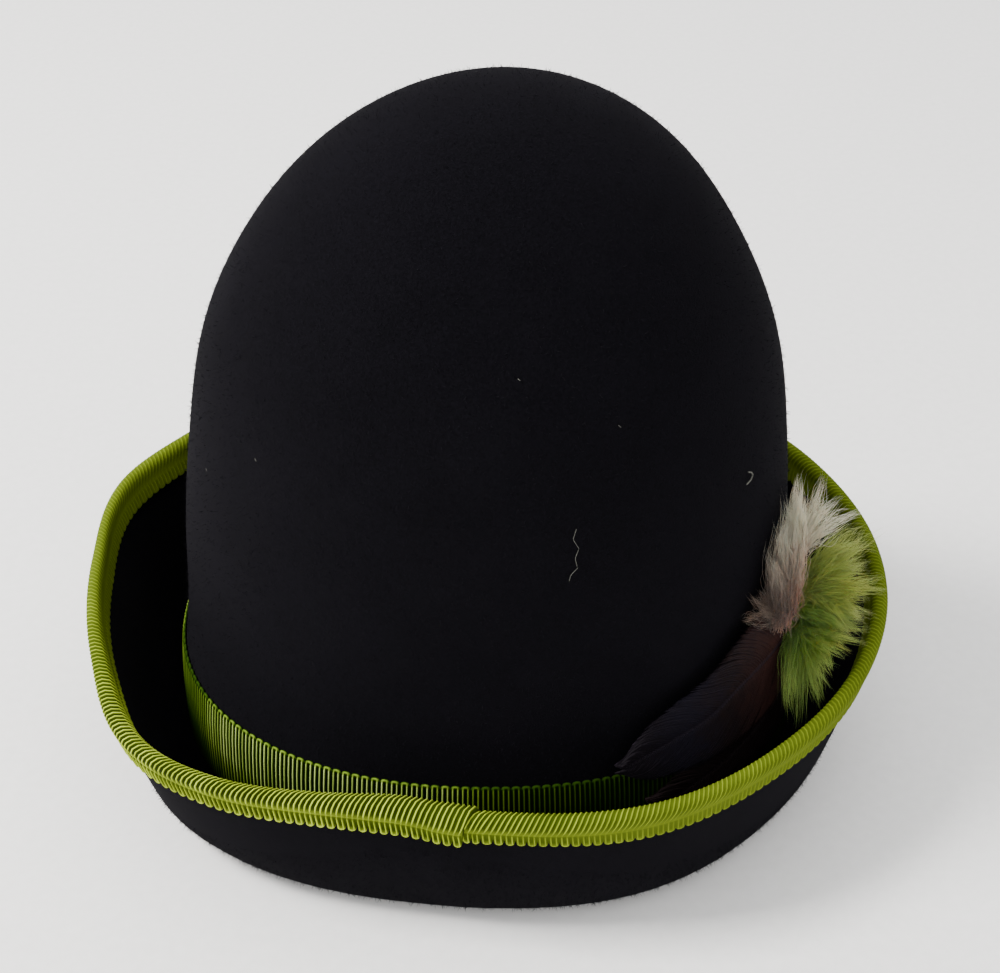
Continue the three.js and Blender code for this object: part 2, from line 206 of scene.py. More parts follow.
def skin_over(rings, closed_rows, poles=None):
    """Points and faces of a skin through rings of points. The rows join end to end or close on poles."""
    rings = np.asarray(rings)
    rows, size = rings.shape[:2]
    index = np.arange(rows * size).reshape(rows, size)
    below = np.roll(index, -1, axis=0) if closed_rows else index[1:]
    above = index if closed_rows else index[:-1]
    quads = np.stack([above, np.roll(above, -1, axis=1), np.roll(below, -1, axis=1), below], axis=-1)
    faces = quads.reshape(-1, 4).tolist()
    points = rings.reshape(-1, 3)
    if poles is not None:
        first = len(points)
        points = np.vstack([points, poles])
        for i in range(size):
            j = (i + 1) % size
            faces.append((first, int(index[0, j]), int(index[0, i])))
            faces.append((first + 1, int(index[-1, i]), int(index[-1, j])))
    return points, faces


# The felt is never quite even. Each wave: its depth, how many go round the hat, over what height it turns
# by a radian, and where it starts
felt_waves = [(0.35, 2, 31, 0), (0.25, 3, -23, 1.3), (0.15, 5, 17, 0.4)]
waves_start = 45
waves_full = 85
waves_fade = 30


def blocked_felt(angle, height):
    """How far the felt stands off the block's true shape."""
    a = np.radians(angle)
    wave = 0
    for depth, count, climb, start in felt_waves:
        wave = wave + depth * np.sin(count * a + height / climb + start)
    wave = wave * np.clip((height - waves_start) / (waves_full - waves_start), 0, 1)
    return wave * np.clip((crown_height - height) / waves_fade, 0, 1)


station_step = 1.875
felt_stations = np.arange(0, 360, station_step)
lower_wall = 11
upper_wall = 58
crown_heights = np.concatenate([
    np.linspace(lower_wall, upper_wall, 12),
    upper_wall + (crown_height - upper_wall) * np.sin(np.linspace(0, math.pi / 2, 46)[1:-1]),
])
felt_rings = []
for height in crown_heights[::-1]:
    felt_rings.append(crown_point(felt_stations, height, blocked_felt(felt_stations, height)))
brim_middle = brim_line(felt_stations, foot_steps=6, roll_steps=18)
for station in brim_middle:
    felt_rings.append(brim_point(felt_stations, *beside(station, felt_thick / 2)))
# The cut edge is rounded over
for turn in (45, 90, 135):
    side = felt_thick / 2 * math.cos(math.radians(turn))
    past = felt_thick / 2 * math.sin(math.radians(turn))
    felt_rings.append(brim_point(felt_stations, *beside(brim_middle[-1], side, past)))
for station in brim_middle[::-1]:
    felt_rings.append(brim_point(felt_stations, *beside(station, -felt_thick / 2)))
inside_share = (crown_height - felt_thick) / crown_height
for height in crown_heights:
    inner = crown_point(felt_stations, height, -felt_thick)
    inner[:, 2] *= inside_share
    felt_rings.append(inner)
crown_poles = np.array([
    (crown_top_shift, 0, crown_height),
    (crown_top_shift, 0, crown_height * inside_share),
])


def finish_nodes(name):
    """A new finish, with its node tree and its main shader."""
    finish = bpy.data.materials.new(name)
    finish.use_nodes = True
    tree = finish.node_tree
    return finish, tree, tree.nodes["Principled BSDF"]


def add_node(tree, kind, **settings):
    """A node of that kind, with its settings and the values of its sockets."""
    node = tree.nodes.new(kind)
    for key, value in settings.items():
        if key in node.bl_rna.properties:
            setattr(node, key, value)
        else:
            node.inputs[key.replace("_", " ")].default_value = value
    return node


def join(tree, source, target):
    """Links one node's output to another's socket."""
    tree.links.new(source, target)


def colour_steps(tree, factor, steps):
    """A run of colours over a factor: steps of (place, colour)."""
    ramp = add_node(tree, "ShaderNodeValToRGB")
    while len(ramp.color_ramp.elements) < len(steps):
        ramp.color_ramp.elements.new(0.5)
    for element, (place, colour) in zip(ramp.color_ramp.elements, steps):
        element.position = place
        element.color = (*colour, 1)
    join(tree, factor, ramp.inputs["Fac"])
    return ramp.outputs["Color"]


def felt_finish(name, dark, light):
    """Wool felt: matted fibres of a few shades, dull all over."""
    finish, tree, shader = finish_nodes(name)
    place = add_node(tree, "ShaderNodeTexCoord").outputs["Object"]
    fibres = add_node(tree, "ShaderNodeTexNoise", Scale=1500, Detail=4, Roughness=0.75, Distortion=0.8)
    clouds = add_node(tree, "ShaderNodeTexNoise", Scale=28, Detail=3, Roughness=0.6)
    for texture in (fibres, clouds):
        join(tree, place, texture.inputs["Vector"])
    mix = add_node(tree, "ShaderNodeMix", data_type="FLOAT")
    mix.inputs[0].default_value = 0.2
    join(tree, fibres.outputs["Fac"], mix.inputs[2])
    join(tree, clouds.outputs["Fac"], mix.inputs[3])
    join(tree, colour_steps(tree, mix.outputs[0], [(0.32, dark), (0.7, light)]), shader.inputs["Base Color"])
    shader.inputs["Roughness"].default_value = 1.0
    shader.inputs["Specular IOR Level"].default_value = 0.02
    shader.inputs["Sheen Weight"].default_value = 0.012
    shader.inputs["Sheen Roughness"].default_value = 0.6
    shader.inputs["Sheen Tint"].default_value = (0.75, 0.72, 0.85, 1)
    bump = add_node(tree, "ShaderNodeBump", Strength=0.7, Distance=0.0005)
    join(tree, fibres.outputs["Fac"], bump.inputs["Height"])
    join(tree, bump.outputs["Normal"], shader.inputs["Normal"])
    return finish


black_felt = felt_finish("black_wool_felt", (0.0009, 0.0008, 0.0012), (0.0043, 0.0039, 0.0056))
felt = add_piece("felt_hat_body", *skin_over(felt_rings, False, crown_poles), black_felt)
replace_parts(felt, "felt_hat")

# The felt's nap is the loose ends of its own wool, half a millimetre to two long, that brushing has raised.
# They stand out all over the crown and on both sides of the brim, and soften the hat's outline.
shake = np.random.default_rng(21)
nap_count = 40000
# How thick and long the ends are, how straight they stand, and where they can't
nap_root = 0.075
nap_least = 0.5
nap_longer = 1.3
nap_stand = 0.55
nap_scatter = 0.45
band_covers = 44
table_ring = 3
nap_rows = len(crown_heights) + 2 * len(brim_middle) + 3
nap_corners = np.array(felt_rings[:nap_rows])
nap_from, nap_to = nap_corners[:-1], nap_corners[1:]
nap_across = np.roll(nap_from, -1, axis=1) - nap_from
nap_down = nap_to - nap_from
nap_out = np.cross(nap_across, nap_down)
nap_area = np.linalg.norm(nap_out, axis=-1)
nap_out /= nap_area[..., None]
# Most of the wool ends stand where they are seen: none under the ribbons or on the ring that meets the table
nap_height = nap_from[..., 2]
wall_rows = len(crown_heights)
nap_area[:wall_rows][nap_height[:wall_rows] < band_covers] = 0
nap_area[nap_height < table_ring] = 0
edge_row = wall_rows + len(brim_middle)
binding_covers = slice(edge_row - 3, edge_row + 6)
nap_area[binding_covers] = 0
nap_shares = [
    (slice(0, wall_rows), 0.6),
    (slice(wall_rows, edge_row), 0.05),
    (slice(edge_row, None), 0.35),
]
for rows, share in nap_shares:
    nap_area[rows] *= share / nap_area[rows].sum()
crown_side = np.sign((nap_out[:wall_rows, :, :2] * nap_from[:wall_rows, :, :2]).sum(axis=(0, 1, 2)))
nap_out *= crown_side
nap_pick = shake.choice(nap_area.size, nap_count, p=nap_area.ravel() / nap_area.sum())
nap_grids = (nap_from, nap_across, nap_down, nap_out)
spot, spot_across, spot_down, spot_out = (grid.reshape(-1, 3)[nap_pick] for grid in nap_grids)
nap_at = spot + shake.random((nap_count, 1)) * spot_across
nap_at += shake.random((nap_count, 1)) * spot_down


def one_long(rows):
    """Each row of a list of directions, made one millimetre long."""
    return rows / (np.linalg.norm(rows, axis=1)[:, None] + 1e-9)


nap_lean = one_long(spot_out * nap_stand + shake.normal(0, nap_scatter, (nap_count, 3)))
nap_length = nap_least + nap_longer * shake.random((nap_count, 1)) ** 2
nap_side = one_long(np.cross(nap_lean, shake.normal(0, 1, (nap_count, 3))))
nap_third = np.cross(nap_lean, nap_side)
nap_points = [nap_at + nap_side * nap_root]
for turn in (120, 240):
    c, s = math.cos(math.radians(turn)), math.sin(math.radians(turn))
    nap_points.append(nap_at + (nap_side * c + nap_third * s) * nap_root)
nap_points.append(nap_at + nap_lean * nap_length)
nap_points = np.stack(nap_points, axis=1).reshape(-1, 3)
nap_faces = []
for first in range(0, 4 * nap_count, 4):
    nap_faces += [(first, first + 2, first + 1), (first, first + 1, first + 3)]
    nap_faces += [(first + 1, first + 2, first + 3), (first + 2, first, first + 3)]
nap_felt = felt_finish("black_wool_nap", (0.0022, 0.002, 0.0027), (0.0105, 0.0097, 0.0125))
nap = add_piece("felt_nap", nap_points, nap_faces, nap_felt, smooth=False)

# A few flecks and threads of pale lint have settled on the crown. They are loose cotton fibres, a few
# millimetres long, and nothing but the nap holds them.
lint_lift = 0.75
lint_thread = 0.16
lint_curl = 0.42


def thread_mesh(paths, widths, flatness=1.0, sides=3, flats=None):
    """Closed thin threads along paths of points: each has a width for each point and ends in a point."""
    points, faces = [], []
    for number, (path, width) in enumerate(zip(paths, widths)):
        path = np.asarray(path)
        along = one_long(np.gradient(path, axis=0))
        up = np.array([0.0, 0.0, 1.0]) if flats is None else flats[number]
        side = one_long(np.cross(along, up))
        up = np.cross(side, along)
        first = len(points)
        count = len(path)
        for k in range(count - 1):
            for s in range(sides):
                turn = 2 * math.pi * s / sides
                off = side[k] * math.cos(turn) + up[k] * math.sin(turn) * flatness
                points.append(path[k] + off * width[k] / 2)
        points.append(path[-1])
        tip = len(points) - 1
        for k in range(count - 2):
            for s in range(sides):
                t = (s + 1) % sides
                a, b = first + k * sides + s, first + k * sides + t
                faces.append((a, b, b + sides, a + sides))
        last = first + (count - 2) * sides
        for s in range(sides):
            faces.append((last + s, last + (s + 1) % sides, tip))
        faces.append(tuple(first + s for s in range(sides))[::-1])
    return points, faces


# Each bit of lint: places given as (turn towards the near side, height)
lint_places = [
    [(36.1, 128.2), (35, 127.4), (34.5, 126.2), (35.3, 125.2), (37.1, 124.7)],
    [(75.3, 129), (75.9, 126), (74.9, 123), (75.6, 120), (75.2, 117), (76.4, 115), (76.7, 113)],
    [(66, 155.2), (66.5, 155.9)], [(151.2, 123.2), (151.8, 123.8)], [(134.8, 137.2), (135.3, 137.9)],
    [(84.5, 169.3), (85, 169.8)], [(185.8, 199.2), (186.6, 199.6)],
]
lint_paths = []
for places in lint_places:
    turns, heights = np.array(places, float).T
    steps = np.linspace(0, len(places) - 1, 4 * len(places))
    turns = np.interp(steps, np.arange(len(places)), turns)
    heights = np.interp(steps, np.arange(len(places)), heights)
    lint_paths.append(crown_point(-turns, heights, lint_lift))
lint_widths = [np.full(len(lint_path), lint_thread) for lint_path in lint_paths]
lint_widths[0][:] = lint_curl
lint_finish = felt_finish("pale_lint", (0.04, 0.04, 0.04), (0.2, 0.2, 0.17))
lint = add_piece("lint_on_crown", *thread_mesh(lint_paths, lint_widths, sides=5), lint_finish)

# The binding is one length of ribbed ribbon, woven of fine silky warp over round weft cords, so that it is
# all ribs across its width. It is folded over the brim's edge and sewn through near both of its looped
# edges, and its end is turned under and lapped over its start at the near side.
ribbon_thick = 0.9
ribbon_gap = 0.4
binding_start = 263.0
binding_overlap = 5.625
binding_end = binding_start + 360 + binding_overlap
rib_pitch = 1.5
rib_rise = 0.5
loop_roundness = 0.4
dimmest_rib = 0.8
# The points of each rib's step, as shares of the step, and how high the rib is at each
rib_places = np.array([0.0, 0.27, 0.38, 0.5, 0.62, 0.73])
rib_shape = np.array([0, 0.06, 0.75, 1, 0.75, 0.06])


def ribbed_run(angles, path):
    """Angles for the ribs' own steps along a path, with each step's rib height, loop height and shade."""
    lengths = np.concatenate([[0], np.cumsum(np.linalg.norm(np.diff(path, axis=0), axis=1))])
    ribs = 2 * round(lengths[-1] / rib_pitch / 2)
    steps = (np.arange(ribs)[:, None] + rib_places).ravel()
    where = np.interp(steps / ribs * lengths[-1], lengths, angles)
    loop = np.abs(np.sin(math.pi * steps / 2)) ** loop_roundness
    shade = np.repeat(dimmest_rib + (1 - dimmest_rib) * shake.random(ribs), len(rib_places))
    return where, np.tile(rib_shape, ribs), loop, shade


def brim_edge(angle):
    """The last place of the brim's line, at its edge."""
    return brim_line(angle, foot_steps=1, roll_steps=1)[-1]


def colour_points(piece, name, values):
    """Stores one value from 0 to 1 for each point of a piece, for its finish to read."""
    layer = piece.data.color_attributes.new(name, "FLOAT_COLOR", "POINT")
    values = np.clip(np.asarray(values, float).ravel(), 0, 1)
    layer.data.foreach_set("color", np.stack([values, values, values, np.ones_like(values)], -1).ravel())


def ribbon_finish(name, steps):
    """Silky ribbed ribbon: painted shade between the ribs and painted highlights along their backs, a little
    uneven from wear.
    """
    finish, tree, shader = finish_nodes(name)
    place = add_node(tree, "ShaderNodeTexCoord").outputs["Object"]
    threads = add_node(tree, "ShaderNodeTexNoise", Scale=2600, Detail=2, Roughness=0.6)
    patches = add_node(tree, "ShaderNodeTexNoise", Scale=60, Detail=3)
    for texture in (threads, patches):
        join(tree, place, texture.inputs["Vector"])
    rib = add_node(tree, "ShaderNodeVertexColor", layer_name="rib")
    worn = add_node(tree, "ShaderNodeMath", operation="MULTIPLY_ADD")
    join(tree, patches.outputs["Fac"], worn.inputs[0])
    worn.inputs[1].default_value = 0.3
    worn.inputs[2].default_value = 0.85
    mixed = add_node(tree, "ShaderNodeMath", operation="MULTIPLY")
    join(tree, rib.outputs["Color"], mixed.inputs[0])
    join(tree, worn.outputs[0], mixed.inputs[1])
    join(tree, colour_steps(tree, mixed.outputs[0], steps), shader.inputs["Base Color"])
    shader.inputs["Roughness"].default_value = 0.8
    shader.inputs["Specular IOR Level"].default_value = 0.02
    bump = add_node(tree, "ShaderNodeBump", Strength=0.35, Distance=0.0002)
    join(tree, threads.outputs["Fac"], bump.inputs["Height"])
    join(tree, bump.outputs["Normal"], shader.inputs["Normal"])
    return finish


binding_angles = np.linspace(binding_start, binding_end, 4000)
edge_out, edge_up, _, _ = brim_edge(binding_angles)
where, rib, loop, rib_light = ribbed_run(binding_angles, brim_point(binding_angles, edge_out, edge_up))
where = np.append(where, binding_end)
rib, loop, rib_light = np.append(rib, 0), np.append(loop, 0), np.append(rib_light, 1)
# The end climbs over the start, and its last centimetre is thicker because it is turned under. All but the
# lift and the thickness are degrees round the hat
climb_start = binding_start + 342
climb_length = 14
lap_lift = 0.7
turned_start = binding_end - 5
turned_step = 1.5
turned_edge = 0.35
turned_thick = 0.3
cover_end = binding_start + 6.2
cover_step = 0.4
lap = np.clip((where - climb_start) / climb_length, 0, 1)
lap = lap * lap * (3 - 2 * lap) * lap_lift
turned_under = np.clip((where - turned_start) / turned_step, 0, 1)
turned_under *= np.clip((binding_end - where) / turned_edge, 0, 1)
covered = np.clip((cover_end - where) / cover_step, 0, 1)
# It was folded a little narrower near its start and its end: where, by what share, and over how many degrees
narrow = 0
for place, share, spread in ((binding_start + 9, 0.26, 16), (binding_end, 0.15, 22)):
    narrow = narrow + share * np.exp(-(((where - place) / spread) ** 2))
# The ribs stand proud from the left end to the near side, and are pressed flatter everywhere else: degrees
# round the hat, then how proud they stand
proud_rows = [
    (0, 0.1), (180, 0.1), (190, 0.22), (202, 0.55), (212, 1),
    (258, 1), (266, 0.8), (280, 0.5), (290, 0.3), (305, 0.15),
]
proud = np.interp(where, *np.array(proud_rows).T, period=360)
middle_radius = felt_thick / 2 + ribbon_gap + ribbon_thick / 2
edge_length = math.pi / 2 * middle_radius

# Each row of the ribbon's outer face: place across it as a turn over the edge or a drop down a flank, how
# much of the ribs shows, how far the stitches pull it in, how much of the looped end shows, how far the
# ground between the ribs is sunk, and how light that ground is
# Low ground values are painted shade between the ribs
binding_rows = [
    ("inner", 9.2, 0.0, 0.25, 1.0, 0.0, 0.0),
    ("inner", 8.9, 0.4, 0.0, 1.0, 0.1, 0.0),
    ("inner", 8.2, 1.0, 0.0, 0.5, 0.2, 0.2),
    ("inner", 5.2, 1.0, 0.0, 0.0, 0.2, 0.25),
    ("inner", 4.6, 0.2, 0.25, 0.0, 0.0, 0.5),
    ("inner", 3.0, 0.2, 0.25, 0.0, 0.0, 0.5),
    ("inner", 1.6, 1.0, 0.0, 0.0, 0.0, 0.08),
    ("over", 0, 1.0, 0.0, 0.0, 0.0, 0.08),
    ("over", 45, 1.0, 0.0, 0.0, 0.0, 0.08),
    ("over", 90, 1.0, 0.0, 0.0, 0.0, 0.08),
    ("over", 135, 1.0, 0.0, 0.0, 0.0, 0.08),
    ("over", 180, 1.0, 0.0, 0.0, 0.0, 0.1),
    ("outer", 0.9, 1.0, 0.0, 0.0, 0.0, 0.12),
    ("outer", 2.0, 0.95, 0.05, 0.0, 0.0, 0.22),
    ("outer", 3.0, 0.7, 0.15, 0.0, 0.0, 0.42),
    ("outer", 3.85, 0.2, 0.25, 0.0, 0.0, 0.5),
    ("outer", 4.15, 0.15, 0.15, 0.0, 0.0, 0.56),
    ("outer", 4.45, 0.3, 0.25, 0.0, 0.0, 0.4),
    ("outer", 4.9, 0.8, 0.1, 0.0, 0.1, 0.24),
    ("outer", 7.7, 0.9, -0.05, 0.0, 0.2, 0.18),
    ("outer", 8.5, 0.8, -0.1, 0.5, 0.2, 0.3),
    ("outer", 9.0, 0.4, -0.05, 1.0, 0.1, 0.2),
    ("outer", 9.2, 0.0, 0.25, 1.0, 0.0, 0.1),
]
# The rows of its hidden back face: place across it, and how much of the looped end shows
binding_back = [
    ("outer", 9.0, 1.0), ("outer", 7.0, 0.0), ("over", 180, 0.0), ("over", 90, 0.0), ("over", 0, 0.0),
    ("inner", 7.0, 0.0), ("inner", 8.9, 1.0),
]
length_of_degree = 1.9
# The ribs lean over the fold and stand nearly upright below the stitches: place across the ribbon, how far
# the proud ribs have moved along it there, and how far the pressed ones have
lean_rows = np.array([
    (-12.5, -2.4, -2.9), (-7.4, -2.8, -3.2), (-4.7, -2.5, -2.4), (-1.5, -1.2, -0.8), (1, 0.6, 0.5),
    (3.3, 1.6, 1.7), (6.3, 2.2, 3.1), (7.4, 2.2, 3.5), (12.5, 1.6, 3.2),
])


def rib_lean(across):
    """How many degrees back round the hat a rib has moved, at a place across the ribbon."""
    steep = np.interp(across, lean_rows[:, 0], lean_rows[:, 1])
    sweeping = np.interp(across, lean_rows[:, 0], lean_rows[:, 2])
    return (steep * proud + sweeping * (1 - proud)) / length_of_degree


# Where the ribs are pressed they keep these shares of their loops' length, their rise and their painted light
# and shade
pressed_loop = 0.45
pressed_rise = 0.12
pressed_shading = 0.14


def unless_proud(share):
    """A share that the pressed ribs keep, and that grows to the whole where the ribs stand proud."""
    return share + (1 - share) * proud


loop_depth = 1.8
loop_middle = 0.85
loop_reach = (loop - loop_middle) * loop_depth * unless_proud(pressed_loop)
rib_height = (1 - covered) * rib_rise * unless_proud(pressed_rise)
face_lift = 0.1
face_radius = middle_radius + face_lift + lap + turned_under * turned_thick
back_radius = middle_radius - ribbon_thick / 2 + lap
edge_station = brim_edge(where)


def ribbon_ring(kind, amount, radius, looped):
    """One row of the folded ribbon, at a radius from the middle of the felt's edge."""
    if kind == "over":
        turn = math.radians(amount)
        side, past = radius * math.cos(turn), radius * math.sin(turn)
        across = (amount / 90 - 1) * edge_length
    else:
        flank = 1 if kind == "inner" else -1
        drop = amount * (1 - narrow)
        side, past = flank * radius, -(drop + looped * loop_reach)
        across = -flank * (drop + edge_length)
    return brim_point(where - rib_lean(across), *beside(edge_station, side, past))


# Where the stitches pull the ribs flat the ground is light, and the ribs there are a little lighter still
stitched_ground = 0.35
stitched_rib = 0.1
pressed_shade = 0.4
back_shade = 0.2
# Each row's shade paints a highlight on the ribs' backs and shade on the ground between them, evened out
# where the ribs are pressed
binding_rings = []
binding_shade = []
for kind, amount, shows, pull, looped, sunk, ground in binding_rows:
    raised = rib * shows * (1 - looped) + loop * looped
    radius = face_radius + raised * rib_height - (1 - raised) * sunk - pull
    binding_rings.append(ribbon_ring(kind, amount, radius, looped))
    shade = np.maximum(raised * rib_light, ground) + stitched_rib * rib * (ground > stitched_ground)
    binding_shade.append(pressed_shade + (shade - pressed_shade) * unless_proud(pressed_shading))
for kind, amount, looped in binding_back:
    binding_rings.append(ribbon_ring(kind, amount, back_radius, looped))
    binding_shade.append(rib * back_shade)
binding_rings = np.array(binding_rings).transpose(1, 0, 2)
rows, size = binding_rings.shape[:2]
binding_points, binding_faces = skin_over(binding_rings, False)
binding_faces.append(tuple(range(size)))
binding_faces.append(tuple(range(rows * size - size, rows * size)))
# From the painted shade between the ribs up to the painted highlight on their backs
ribbon_steps = [
    (0.0, (0.005, 0.011, 0.001)), (0.2, (0.032, 0.052, 0.002)), (0.5, (0.128, 0.172, 0.012)),
    (0.78, (0.38, 0.485, 0.035)), (1.0, (0.52, 0.63, 0.1)),
]
green_ribbon = ribbon_finish("green_ribbed_ribbon", ribbon_steps)
binding = add_piece("ribbon_binding", binding_points, binding_faces, green_ribbon)
colour_points(binding, "rib", np.array(binding_shade).T)
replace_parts(binding, "brim_binding")

# The hat band is the same ribbon, drawn flat round the foot of the crown with its two looped edges left
# free. A few stitches hold it, and its ribs hide them.
band_bottom = 11.0
band_top = 42.0
band_middle = 26.0
band_stands_off = 1.3
band_rib_rise = rib_rise * 0.9
band_loop_length = 1.3
band_loop_back = 1.2
band_sway = 0.2
# The looped ends are dimmer, and the lower part is painted darker as painted shade from the brim
looped_end_dimmer = 0.3
brightest_rib = 0.95
foot_shade = 0.45
foot_shade_height = 30
band_angles = np.linspace(0, 360, 3000)
band_path = crown_point(band_angles, band_middle, band_stands_off)
band_where, band_rib, band_loop, band_light = ribbed_run(band_angles, band_path)
# Each row: height, how much of the ribs shows, lift from the wall, how much of the looped end shows, and
# whether that end is the upper or the lower one
band_rows = [
    (band_bottom, 0, 0.5, 1, -1),
    (band_bottom + 0.4, 0.3, 0.7, 1, -1),
    (band_bottom + 1.4, 1, 0.85, 0, 0),
    (19, 1, 0.85, 0, 0),
    (27, 1, 0.85, 0, 0),
    (35, 1, 0.85, 0, 0),
    (band_top - 1.1, 1, 0.85, 0, 1),
    (band_top - 0.6, 0.8, 0.8, 0.4, 1),
    (band_top - 0.25, 0.3, 0.7, 0.8, 1),
    (band_top, 0, 0.5, 0.8, 1),
    (band_top, 0, ribbon_gap, 0.8, 1),
    (27, 0, ribbon_gap, 0, 0),
    (band_bottom, 0, ribbon_gap, 1, -1),
]
# Painted shade: the band is darker beside the feathers, along the near side and at the left end, where shade
# falls on it. Degrees round the hat, then how much light is left
painted_shade_rows = [
    (0, 0.6), (20, 1), (176, 1), (190, 0.5), (203, 0.45), (211, 0.75),
    (218, 1), (256, 1), (265, 0.85), (272, 0.5), (290, 0.36), (345, 0.36),
]
band_painted_shade = np.interp(band_where, *np.array(painted_shade_rows).T, period=360)
# Each row's shade paints a highlight on the ribs' backs and shade between them, times the painted shade round
# the band and near its foot
band_rings = []
band_shade = []
for height, shows, lift, looped, end in band_rows:
    sway = band_sway * np.sin(np.radians(band_where * 3 + height * 2))
    height = height + end * looped * (band_loop * band_loop_length - band_loop_back) + sway
    raised = band_rib * shows * (1 - looped) + band_loop * looped * (lift > ribbon_gap)
    band_rings.append(crown_point(band_where, height, lift + raised * band_rib_rise))
    shade = raised * band_light * band_painted_shade * (brightest_rib - looped_end_dimmer * looped)
    band_shade.append(shade * np.clip(height / foot_shade_height, foot_shade, 1))
band_rings = np.array(band_rings).transpose(1, 0, 2)
# From the painted shade between the ribs up to the painted highlight on their backs
band_steps = [
    (0.0, (0.003, 0.009, 0.001)), (0.3, (0.02, 0.05, 0.003)),
    (0.6, (0.2, 0.3, 0.03)), (0.95, (0.78, 0.96, 0.3)),
]
band_ribbon = ribbon_finish("green_band_ribbon", band_steps)
band = add_piece("ribbon_band", *skin_over(band_rings, True), band_ribbon)
colour_points(band, "rib", np.array(band_shade).T)
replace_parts(band, "hat_band")

# A scrap of the same felt is sewn flat to the crown behind the feathers. It is hidden by them, and carries
# the whole bunch, which is tied and sewn to it.
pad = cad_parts["feather_pad"]
pad.data.materials.clear()
pad.data.materials.append(black_felt)

# The long feather lies along the band: a bent quill with a soft vane on each side, each vane a row of fine
# barbs that cling together. Its root is tied in with the rest of the bunch. It is brown there, and shines
# violet and grey-green towards its tip.
# How each barb curves back, tapers, arches off the vane and strays, and where the barbs part
barb_points = 9
barb_flatness = 0.3
barb_curve = 1.3
barb_taper = 0.45
barb_arch = 0.5
barb_stray = 0.35
barb_layer = 0.05
vane_raised = 0.55
vane_falls = 0.5
gap_width = 1.1
gap_open = 0.8
past_end = 1.2


def vane_barbs(rows, spacing, sweep, width, lift, ragged, gaps):
    """The barbs of a flat feather along the crown, from rows of (turn, middle's height, half width)."""
    rows = np.array(rows, float)
    turns = np.arange(rows[0, 0] + 0.5, rows[-1, 0] - 0.3, spacing)
    paths, widths, flats = [], [], []
    for vane in (1, -1):
        for number, start in enumerate(turns):
            parted = 0
            for at, strength, which in gaps:
                if which == vane:
                    parted += strength * math.exp(-(((start - at) / gap_width) ** 2))
            if parted > gap_open:
                continue
            reach = sweep * (0.9 + 0.1 * shake.random()) * (1 + parted * 0.5)
            reach = min(reach, rows[-1, 0] + past_end - start)
            share = np.linspace(0, 1, barb_points)
            turn = start + reach * share**barb_curve
            half = smooth_between(rows[:, 0], rows[:, 2], np.clip(turn, rows[0, 0], rows[-1, 0]))
            middle = smooth_between(rows[:, 0], rows[:, 1], np.clip(turn, rows[0, 0], rows[-1, 0]))
            length = (1 - ragged * shake.random() ** 2) * (1 - 0.25 * parted)
            height = middle + vane * half * share * length
            arch = barb_arch * np.sin(share * math.pi) + (number % 3) * barb_layer
            arch = arch + barb_stray * share * shake.random()
            path = crown_point(-turn, height, lift + vane_raised - vane_falls * share + arch)
            flat = crown_point(-turn, height, lift + 5) - crown_point(-turn, height, lift)
            paths.append(path)
            flats.append(one_long(flat))
            widths.append(width * (1 - barb_taper * share))
    return paths, widths, flats


def colours_along(tree, mottle, unevenness, steps):
    """Colours that run along a feather or its down, made uneven by a mottling."""
    join(tree, add_node(tree, "ShaderNodeTexCoord").outputs["Object"], mottle.inputs["Vector"])
    along = add_node(tree, "ShaderNodeVertexColor", layer_name="along")
    shift = add_node(tree, "ShaderNodeMath", operation="MULTIPLY_ADD")
    join(tree, mottle.outputs["Fac"], shift.inputs[0])
    shift.inputs[1].default_value = unevenness
    shift.inputs[2].default_value = -unevenness / 2
    total = add_node(tree, "ShaderNodeMath", operation="ADD")
    join(tree, along.outputs["Color"], total.inputs[0])
    join(tree, shift.outputs[0], total.inputs[1])
    return colour_steps(tree, total.outputs[0], steps)


def feather_finish(name, steps, sheen, tint):
    """Feather barbs: colour runs along the feather under a faint tinted sheen."""
    finish, tree, shader = finish_nodes(name)
    mottle = add_node(tree, "ShaderNodeTexNoise", Scale=240, Detail=3, Roughness=0.65)
    join(tree, colours_along(tree, mottle, 0.3, steps), shader.inputs["Base Color"])
    shader.inputs["Roughness"].default_value = 0.7
    shader.inputs["Specular IOR Level"].default_value = 0.08
    shader.inputs["Sheen Weight"].default_value = sheen
    shader.inputs["Sheen Roughness"].default_value = 0.35
    shader.inputs["Sheen Tint"].default_value = (*tint, 1)
    return finish


# Along the feather: turn towards the near side, its middle's height, and half its width
long_rows = [
    (18, 60, 4), (23, 61, 13), (31, 62, 19.5), (42, 60, 20), (51, 55, 16),
    (58, 53, 13.5), (64, 50.5, 10), (67, 49, 6), (69, 48, 1.5),
]
# Gaps where its barbs have parted: turn, how far they have parted, and on which vane
long_gaps = [(22.5, 1.8, 1), (44, 0.15, 1), (55, 0.15, -1)]
long_paths, long_widths, long_flats = vane_barbs(
    long_rows, spacing=0.2, sweep=13, width=1.15, lift=4.2, ragged=0.07, gaps=long_gaps
)
quill_lift = 4.6
quill_points = 24
quill_turns = np.linspace(14, 66, quill_points)
quill_heights = np.interp(quill_turns, *np.array(long_rows)[:, :2].T)
long_paths.append(crown_point(-quill_turns, quill_heights, quill_lift))
long_widths.append(np.linspace(1.1, 0.3, quill_points))
long_flats.append(one_long(crown_point(-quill_turns, 55, 9) - crown_point(-quill_turns, 55, 4)))
# The brown is the feather's own colour; the violet towards the tip is painted sheen
violet_brown = [
    (0.05, (0.056, 0.021, 0.015)), (0.4, (0.024, 0.009, 0.0074)), (0.62, (0.0072, 0.0036, 0.004)),
    (0.8, (0.0048, 0.0038, 0.0082)), (0.97, (0.004, 0.0026, 0.0045)),
]
long_material = feather_finish("violet_brown_feather", violet_brown, 0.03, (0.7, 0.55, 0.8))


